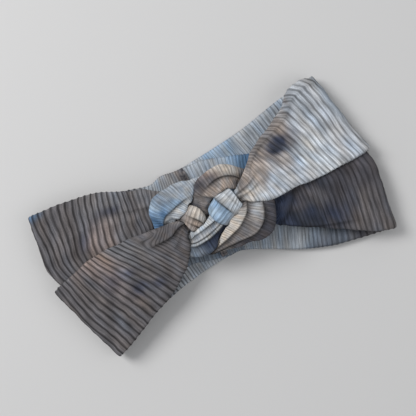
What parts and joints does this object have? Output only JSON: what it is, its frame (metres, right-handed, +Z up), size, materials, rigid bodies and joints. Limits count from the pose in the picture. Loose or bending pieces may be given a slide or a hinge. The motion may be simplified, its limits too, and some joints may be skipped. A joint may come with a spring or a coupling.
{
  "type": "knotted headband",
  "caption": "Soft headband of ribbed tie-dyed jersey, a closed loop lying flat, with a flat interlaced knot at the front and one seam at the centre back.",
  "frame": {"origin": "on the flat underside of the outer back layer, straight under the middle of the knot", "axes": "+X along the band towards the right-hand tube's end, +Y across the band towards its upper edge in the picture, +Z up through the back, the head opening and the knot"},
  "size_m": [0.2296, 0.1186, 0.0277],
  "materials": {
    "right_tube": "pale blue-grey tie-dyed rib jersey, matt",
    "left_tube": "charcoal-brown tie-dyed rib jersey, matt",
    "thread": "grey overedge sewing thread"
  },
  "bodies": {
    "root": {"right_upper_leg": "right_tube", "right_crossing_run": "right_tube", "right_side_lobe": "right_tube", "right_inner_run": "right_tube", "right_lower_leg": "right_tube", "right_upper_fold": "right_tube", "right_lower_fold": "right_tube", "right_upper_back": "right_tube", "right_lower_back": "right_tube", "left_upper_leg": "left_tube", "left_crossing_run": "left_tube", "left_side_lobe": "left_tube", "left_inner_run": "left_tube", "left_lower_leg": "left_tube", "left_upper_fold": "left_tube", "left_lower_fold": "left_tube", "left_upper_back": "left_tube", "left_lower_back": "left_tube", "back_seam_allowance": "left_tube", "back_seam_thread": "thread"}
  },
  "joints": []
}
